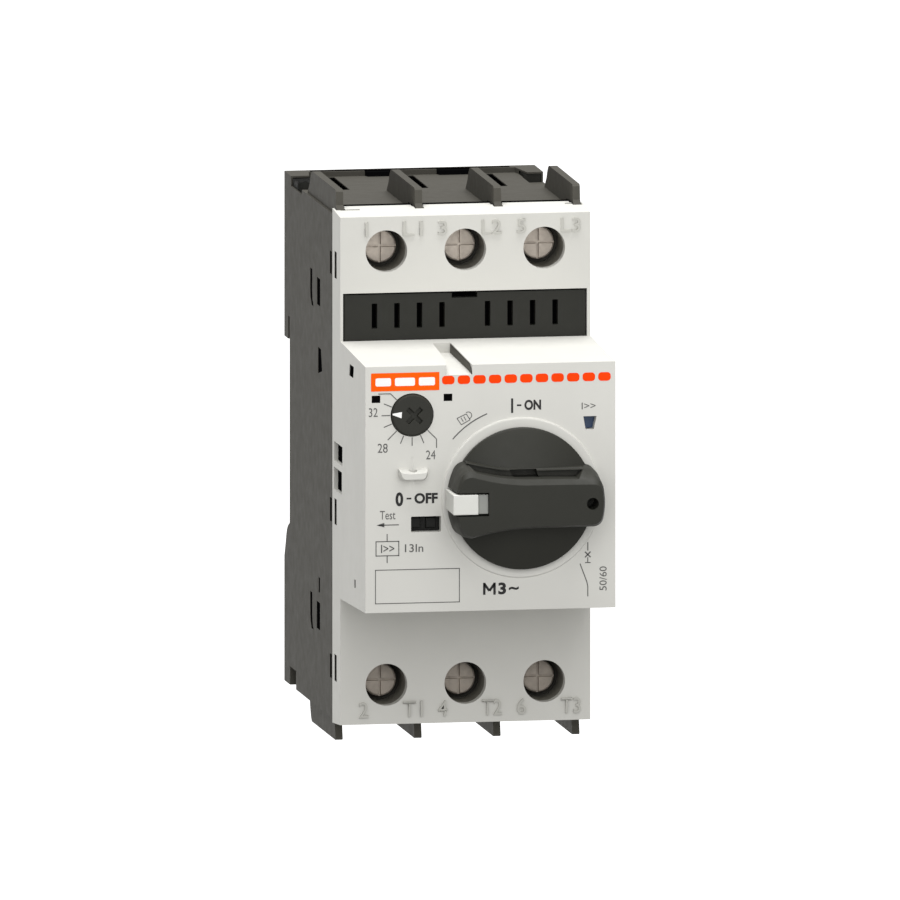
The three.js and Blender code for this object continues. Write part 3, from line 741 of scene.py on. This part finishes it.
def grip_outline(upper, lower, reach, corner=1.5, steps=20):
    """Outline of the grip about the knob's axis, with round corners; upper and lower are half widths."""
    turn = corner / reach
    out = []

    def side(widths, sign, leftward):
        left_end = -math.sqrt(reach ** 2 - widths[0] ** 2) + corner
        right_end = math.sqrt(reach ** 2 - widths[2] ** 2) - corner
        first, last = (right_end, left_end) if leftward else (left_end, right_end)
        xs = [first + (last - first) * i / steps for i in range(steps + 1)]
        return [(x, sign * grip_half(x, *widths)) for x in xs]

    top = side(upper, 1, True)
    bottom = side(lower, -1, False)
    for start, end in ((top, bottom), (bottom, top)):
        sign = -1 if start is top else 1
        half_a, half_b = abs(start[-1][1]), abs(end[0][1])
        corner_a = (sign * math.sqrt(reach ** 2 - half_a ** 2), start[-1][1])
        corner_b = (sign * math.sqrt(reach ** 2 - half_b ** 2), end[0][1])
        a = math.atan2(corner_a[1], corner_a[0]) % (2 * math.pi) + turn
        b = math.atan2(corner_b[1], corner_b[0]) % (2 * math.pi) - turn
        if b < a:
            b += 2 * math.pi
        curve = arc(0, 0, reach, math.degrees(a), math.degrees(b), 10)
        out += start + bezier(start[-1], corner_a, curve[0], 5) + curve[1:]
        out += bezier(curve[-1], corner_b, end[0], 5)[:-1]
    return out


# Levels of the grip from rear to front: y, upper and lower half widths, reach
GRIP_LEVELS = [
    (KNOB_REAR, (7.1, 5.7, 5.9), (6.6, 4.75, 4.6), 13.65),
    (KNOB_FACE, (6.9, 5.5, 5.7), (6.5, 4.65, 4.5), 13.6),
    (-88.35, (6.15, 4.4, 4.25), (6.15, 4.4, 4.25), 13.45),
    (GRIP_Y, (5.3, 3.45, 3.35), (5.75, 3.95, 3.8), 13.1),
]
GRIP_OFF_AXIS = 0.15


def make_knob():
    dome = [(12.7, KNOB_REAR), (12.68, KNOB_REAR - 0.85), (12.45, KNOB_REAR - 1.15)]
    dome += [(r, KNOB_FACE + 2.9 * (r / 12) ** 1.7) for r in (11, 9.5, 8, 6.5, 5, 3.5, 2)]
    disc = turned(0, 0, dome, sides=128)
    grip = loft([[(x + GRIP_OFF_AXIS, y, z) for x, z in grip_outline(*sizes)] for y, *sizes in GRIP_LEVELS])
    # Finger scoop along the upper side, sunk into the disc, with a deep pit at its middle
    inner, outer = [], []
    for i in range(17):
        x = -9.3 + 18.2 * i / 16
        inner.append((x, grip_half(x, 6.2, 4.42, 4.2)))
        x = -10.6 + 20.8 * i / 16
        outer.append((x, grip_half(x, 7.1, 5.45, 5.55)))
    ledge = []
    for depth, near, far in ((2.2, 0.3, 0.35), (0.65, 0.1, 0.3), (0.3, 0.05, 0.1)):
        ring = [(x, z - near) for x, z in outer] + [(x, z + far) for x, z in outer[::-1]]
        ledge.append([(x, KNOB_FACE + depth, z) for x, z in ring])
    knob = add(disc, grip, loft(ledge))
    front = GRIP_Y - 2.75
    knob = cut(knob, prism(inner + outer[::-1], "y", front, KNOB_FACE + 1))
    knob = cut(knob, prism([(-3, 5.7), (1.9, 5.7), (2.4, 4.3), (-2.2, 4.3)], "y", -85.5, -81.6))
    # Channel of the padlock tab, and the round hole in the other end
    knob = cut(knob, box([-15, -7.4], [front, -86.7], [-1.9, 2.3]))
    knob = cut(knob, box([-15, -12.6], [front, KNOB_REAR + 1], [-1.9, 2.3]))
    knob = cut(knob, turned(11.27, -0.1, [(1.08, front), (1.08, -84)], sides=32))
    soften(moved(knob, KNOB_X, KNOB_Z), 0.3, 3, angle=28)
    finish(knob, "rotary_handle", BLACK, "knob", ["rotary_knob"])


def make_lock_tab():
    front = GRIP_Y - 0.05
    profile = [(-13.85, front), (-9.3, front), (-9.3, -87), (-12.9, -87), (-12.9, -80.7), (-13.75, -80.7)]
    tab = moved(prism(profile, "z", -1.6, 2.0), KNOB_X, KNOB_Z)
    soften(tab, 0.18, 3)
    finish(tab, "padlock_tab", TAB_LIGHT, "lock_slide", ["lock_slide"])
    # Painted shade: the catch is the tab's plastic, grey as it looks sunk in shade
    catch = moved(box([-9.25, -7.43], [GRIP_Y + 0.5, -87], [-1.55, 1.95]), KNOB_X, KNOB_Z)
    soften(catch, 0.15, 2)
    finish(catch, "padlock_tab_catch", SHADE_GREY, "lock_slide")


# ---- dial and slider ----


def make_dial():
    front = DIAL_FRONT
    dial = turned(0, 0, [(1.6, -66), (1.6, BLOCK_Y + 3.6), (3.7, BLOCK_Y + 3.8), (3.75, front + 0.4),
                         (3.55, front + 0.05), (3.4, front)])
    # Driver cross
    for angle in (45, 135):
        arm = box([-1.75, 1.75], [front - PAST, front + 0.7], [-0.38, 0.38])
        turn = Matrix.Rotation(math.radians(angle), 4, "Y")
        arm.data.transform(Matrix.Translation((0.35, 0, -0.1)) @ turn)
        dial = cut(dial, arm)
    soften(moved(dial, DIAL_X, DIAL_Z), 0.1, 2)
    finish(dial, "setting_dial", BLACK, "current_dial", ["current_dial"])
    outline = [(-3.6, 0.12), (-3.6, -0.12), (-1.95, -0.62), (-1.95, 0.5)]
    pointer = prism(outline, "y", front - 0.04, front + 0.1)
    pointer.data.transform(Matrix.Translation((DIAL_X, 0, DIAL_Z)) @ Matrix.Rotation(math.radians(4), 4, "Y"))
    soften(pointer, 0.02, 1)
    finish(pointer, "dial_pointer", WHITE_INK, "current_dial")


def make_slider():
    plate = box([-16.6, -6.6], [BLOCK_Y + 2.5, BLOCK_Y + 3.6], [-8.4, -3.6])
    for x in (-13.2, -10.4):
        plate = add(plate, box([x - 0.9, x + 0.9], [BLOCK_Y + 1.95, BLOCK_Y + 2.6], [-6.9, -5.1]))
    soften(plate, 0.12, 2)
    finish(plate, "test_slide_button", SLIDER, "test_slider", ["test_slider"])


# ---- printed and moulded marks ----

INK_PROUD = 0.03
INK_SINK = 0.02     # how far a mark reaches into its surface
BOLD = 0.4
FAINT = 0.06
THIN = 0.14
RELIEF = 0.42       # height of the moulded terminal marks


def stroke(points, width):
    """A ribbon along (x, z) points, as one flat outline."""
    left, right = [], []
    for i, (x, z) in enumerate(points):
        before = Vector(points[max(0, i - 1)])
        after = Vector(points[min(len(points) - 1, i + 1)])
        along = (after - before).normalized()
        side = Vector((-along.y, along.x)) * (width / 2)
        left.append((x + side.x, z + side.y))
        right.append((x - side.x, z - side.y))
    return left + right[::-1]


def mark(points, surface=BLOCK_Y, proud=INK_PROUD):
    return prism(points, "y", surface - proud, surface + INK_SINK)


def line(points, width=0.17):
    return mark(stroke(points, width))


def frame_marks(x, z, width=0.16):
    """Four ribbons round a rectangle."""
    (x0, x1), (z0, z1) = x, z
    corners = [(x0, z0), (x1, z0), (x1, z1), (x0, z1), (x0, z0)]
    out = []
    for a, b in zip(corners, corners[1:]):
        along = Vector((b[0] - a[0], b[1] - a[1])).normalized() * width / 2
        out.append(line([(a[0] - along.x, a[1] - along.y), (b[0] + along.x, b[1] + along.y)], width))
    return out


def text(body, x, z, surface=BLOCK_Y, proud=INK_PROUD, turn=0.0, weight=0.0):
    """Lettering stretched to fill x and z, standing on a surface that faces the front."""
    curve = bpy.data.curves.new("text", "FONT")
    curve.body = body
    curve.size = 10
    curve.offset = weight
    curve.resolution_u = 4
    curve.extrude = 1
    source = place("text", curve)
    depsgraph = bpy.context.evaluated_depsgraph_get()
    mesh = bpy.data.meshes.new_from_object(source.evaluated_get(depsgraph))
    bpy.data.objects.remove(source)
    bpy.data.curves.remove(curve)
    low = [min(v.co[i] for v in mesh.vertices) for i in range(3)]
    high = [max(v.co[i] for v in mesh.vertices) for i in range(3)]
    wide, tall = high[0] - low[0], high[1] - low[1]
    mesh.transform(Matrix.Translation((-(low[0] + wide / 2), -(low[1] + tall / 2), 0)))
    size_x, size_z = x[1] - x[0], z[1] - z[0]
    if turn:
        size_x, size_z = size_z, size_x
    mesh.transform(Matrix.Diagonal((size_x / wide, size_z / tall, (proud + INK_SINK) / 2, 1)))
    mesh.transform(Matrix.Rotation(math.radians(turn), 4, "Z"))
    mesh.transform(Matrix.Rotation(math.radians(90), 4, "X"))
    middle_y = surface - (proud - INK_SINK) / 2
    mesh.transform(Matrix.Translation(((x[0] + x[1]) / 2, middle_y, (z[0] + z[1]) / 2)))
    return place("text", mesh)


def make_marks():
    # Orange band: a plain block with three blank bars, then a row of dashes
    band = mark(rounded([-21.5, -9.2], [17.95, 21.2], 0.1, 2))
    finish(band, "orange_band", ORANGE, "housing")
    middles = [-7.6 + 2.81 * i for i in range(11)]
    dashes = [mark(rounded([x - 1.13, x + 1.13], [18.93, 20.47], 0.6, 4)) for x in middles]
    finish(join(dashes), "orange_dashes", RED_ORANGE, "housing")
    bars = [mark(rounded(x, [18.85, 20.3], 0.3, 3), proud=0.05)
            for x in ([-20.7, -17.9], [-17.2, -13.6], [-12.9, -10.0])]
    finish(join(bars), "band_blank_bars", WHITE_INK, "housing")

    letter_m = ([(-1.12, -18.9), (-1.12, -16.75)], [(0.72, -18.9), (0.72, -16.75)],
                [(-1.12, -16.95), (-0.2, -18.2)], [(-0.2, -18.2), (0.72, -16.95)])
    black = [
        mark([(3.7, 13.55), (4.08, 13.55), (4.08, 16.15), (3.7, 16.15)]),
        mark([(4.75, 14.75), (5.55, 14.75), (5.55, 15.05), (4.75, 15.05)]),
        text("ON", [6.1, 9.1], [14, 15.85], weight=BOLD),
        text("0", [-17.1, -15.7], [-2.7, -0.18], weight=BOLD),
        mark([(-15.1, -1.5), (-14.25, -1.5), (-14.25, -1.2), (-15.1, -1.2)]),
        text("OFF", [-13.7, -9.5], [-2.3, -0.4], weight=BOLD),
        *[line(points, 0.44) for points in letter_m],
        text("3", [1.4, 2.8], [-18.9, -16.75], weight=BOLD),
        text("~", [3.3, 5.1], [-18.2, -17.5], weight=BOLD),
    ]
    finish(join(black), "black_marks", INK, "housing")

    grey = [
        text("32", [-21.9, -20.3], [13.4, 15.0]),
        text("28", [-20.3, -18.5], [6.95, 8.6]),
        text("24", [-11.6, -9.9], [5.6, 7.2]),
        text("Test", [-19.9, -17.1], [-5.0, -3.45]),
        text("I>>", [16.4, 18.9], [13.9, 15.1]),
        text("I>>", [-19.7, -17.3], [-11.0, -9.5], weight=FAINT),
        text("13In", [-15.4, -12.1], [-10.95, -9.5], weight=FAINT),
        text("50/60", [19.6, 20.9], [-18.6, -14.3], turn=90),
    ]
    # Dial scale
    for i in range(9):
        angle = math.radians(135 + 22.5 * i)
        reach = 6.2 if i in (4, 8) else 5.5
        points = [(DIAL_X + r * math.cos(angle), DIAL_Z + r * math.sin(angle)) for r in (3.95, reach)]
        if i == 0:
            points.append((-20.2, points[-1][1]))
        if i == 8:
            points.append((points[-1][0], points[-1][1] - 1.6))
        for a, b in zip(points, points[1:]):
            grey.append(line([a, b]))
    # Arrow under the slider's name, its trip symbol and the label frame
    grey.append(line([(-20.2, -6), (-16.5, -6)]))
    grey.append(mark([(-20.5, -6), (-19.1, -5.6), (-19.1, -6.4)]))
    grey += frame_marks([-20.6, -16.5], [-11.5, -8.95])
    grey.append(line([(-18.6, -8.95), (-18.6, -7.6)]))
    grey.append(line([(-18.6, -11.5), (-18.6, -12.8)]))
    grey += frame_marks([-20.7, -5.6], [-20.05, -14.05], THIN)
    # Arc of the handle's travel and the padlock sign
    grey.append(line(arc(KNOB_X, KNOB_Z, 16.3, 112, 139, 12), 0.2))
    lock = [(-6.03, 12.8), (-4.37, 13.57), (-3.67, 12.5), (-5.25, 11.66)]
    for a, b in zip(lock, lock[1:] + lock[:1]):
        grey.append(line([a, b], THIN))
    grey.append(line(arc(-4, 13.3, 0.62, -65, 130, 8), THIN))
    grey.append(line([(-5.3, 12.9), (-4.9, 12.2)], THIN))
    grey.append(line([(-4.8, 13.1), (-4.4, 12.4)], THIN))
    # Breaker symbol
    grey.append(line([(17.5, -9.9), (17.5, -11.4)]))
    grey.append(line([(17.0, -11.6), (18.0, -12.6)], 0.22))
    grey.append(line([(17.0, -12.6), (18.0, -11.6)], 0.22))
    grey.append(line([(17.5, -12.6), (17.5, -13.5)]))
    grey.append(line([(17.0, -13.55), (18.0, -13.55)]))
    grey.append(line([(16.1, -13.7), (17.3, -16.9), (17.5, -17.8), (17.5, -19.6)]))
    finish(join(grey), "grey_marks", INK_GREY, "housing")

    # Moulded terminal marks, darker than the cover as painted shade for their edges
    raised = []
    for i, x in enumerate(POLES):
        for row, z in (("L", [42.0, 44.6]), ("T", [-44.1, -41.3])):
            number = str(2 * i + (1 if row == "L" else 2))
            wide = 0.55 if number == "1" else 1.65
            raised.append(text(number, [x - 3.3 - wide, x - 3.3], z, FACE_Y, RELIEF, weight=FAINT))
            raised.append(text(f"{row}{i + 1}", [x + 2.95, x + 6.5], z, FACE_Y, RELIEF, weight=FAINT))
    finish(join(raised), "raised_terminal_marks", RAISED_SHADED, "housing")


# ---- back ----


def make_rail_latch():
    profile = [(1.9, -16.6), (1.9, -47.2), (4.9, -47.2), (4.9, -20.6), (5.5, -20.6)]
    latch = prism(profile, "x", -8.6, 8.6)
    latch = cut(latch, box([-3.4, 3.4], [1, 6], [-41.5, -26]), box([-2.6, 2.6], [1, 6], [-46.2, -44]))
    ribs = [box([-7.4, 7.4], [4.5, 5.2], [z, z + 0.5]) for z in (-24.9, -23.9, -22.9)]
    latch = add(latch, *ribs)
    soften(latch, 0.2, 2)
    finish(latch, "sprung_rail_latch", DARK, "rail_latch", ["rail_latch"])


def make_latch_spring():
    """Compression spring in the latch's window."""
    low, high = span("latch_spring")
    wire = 0.17     # half the wire's thickness
    middle = [(low[i] + high[i]) / 2 for i in range(3)]
    radius = (high[0] - low[0]) / 2 - wire
    turns, steps = 6, 24
    rings = []
    for i in range(turns * steps + 1):
        angle = 2 * math.pi * i / steps
        z = low[2] + wire + (high[2] - low[2] - 2 * wire) * i / (turns * steps)
        ring = []
        for across, up in circle(0, 0, wire, 8):
            out = radius + across
            ring.append((middle[0] + out * math.cos(angle), middle[1] + out * math.sin(angle), z + up))
        rings.append(ring)
    spring = loft(rings)
    finish(spring, "rail_latch_spring", SPRING, "housing", ["latch_spring"])
    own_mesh(spring)


# ---- inside: the CAD solids stay, with softened edges and real materials ----

INSIDE = {
    "box_clamp_": STEEL, "contact_bar_": COPPER, "contact_bridge_": SILVER, "upper_arc_chute_": STEEL,
    "lower_arc_chute_": STEEL, "trip_coil_": COPPER, "trip_plunger_": STEEL, "bimetal_": STEEL,
    "contact_carrier": THERMOSET, "trip_bar": BLACK, "mechanism_frame": STEEL, "knob_shaft": STEEL,
    "latch_lever": STEEL, "main_spring": SPRING, "trip_flag": NAVY,
}


def dress_inside():
    for name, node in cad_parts.items():
        for start, material in INSIDE.items():
            if name.startswith(start):
                node.data.materials.clear()
                node.data.materials.append(material)
                edges = node.modifiers.new("edges", "BEVEL")
                edges.width = 0.1 * MM
                edges.segments = 2
                edges.limit_method = "ANGLE"
                edges.angle_limit = math.radians(40)


# ---- stage, lights and camera ----


def make_stage():
    bm = bmesh.new()
    bmesh.ops.create_grid(bm, x_segments=2, y_segments=2, size=2.2)
    mesh = bpy.data.meshes.new("floor")
    bm.to_mesh(mesh)
    bm.free()
    floor = place("floor", mesh)
    floor.location = (0, 2.3, -0.4)
    n = Nodes("pale_floor")
    n.shader.inputs["Base Color"].default_value = (0.8, 0.8, 0.8, 1)
    n.shader.inputs["Roughness"].default_value = 0.9
    n.shader.inputs["Emission Color"].default_value = (1, 1, 1, 1)
    n.shader.inputs["Emission Strength"].default_value = 0.9
    mesh.materials.append(n.material)


def area_light(name, where, aim, size, power):
    light = bpy.data.lights.new(name, "AREA")
    light.shape = "SQUARE"
    light.size = size
    light.energy = power
    obj = bpy.data.objects.new(name, light)
    bpy.context.scene.collection.objects.link(obj)
    obj.location = where
    obj.rotation_euler = (Vector(aim) - Vector(where)).to_track_quat("-Z", "Y").to_euler()


def make_lights():
    world = bpy.data.worlds.new("studio")
    world.use_nodes = True
    background = world.node_tree.nodes["Background"]
    background.inputs["Color"].default_value = (1, 1, 1, 1)
    background.inputs["Strength"].default_value = 0.49
    bpy.context.scene.world = world
    middle = (0, -0.04, 0)
    area_light("overhead", (0, -0.05, 0.6), middle, 0.5, 4.75)
    area_light("front", (-0.1, -0.45, 0.12), middle, 0.3, 0.44)
    area_light("near_front", (0.02, -0.2, 0.05), middle, 0.12, 0.07)


def make_camera():
    azimuth, elevation = math.radians(-9.73), math.radians(7.9)
    aim = Vector((-2.76, FACE_Y, 3.46)) * MM
    ahead = Vector((-math.sin(azimuth) * math.cos(elevation), math.cos(azimuth) * math.cos(elevation),
                    -math.sin(elevation)))
    data = bpy.data.cameras.new("camera")
    data.type = "ORTHO"
    data.ortho_scale = 0.1596
    data.clip_end = 100
    camera = bpy.data.objects.new("camera", data)
    bpy.context.scene.collection.objects.link(camera)
    camera.location = aim - ahead * 1.2
    camera.rotation_euler = ahead.to_track_quat("-Z", "Y").to_euler()
    bpy.context.scene.camera = camera


make_camera()
make_housing()
make_cover()
make_painted_shade()
make_sleeves()
make_accessory_cover()
make_screws()
make_knob()
make_lock_tab()
make_dial()
make_slider()
make_marks()
make_rail_latch()
make_latch_spring()
dress_inside()
make_stage()
make_lights()
bpy.context.scene.view_settings.view_transform = "Standard"
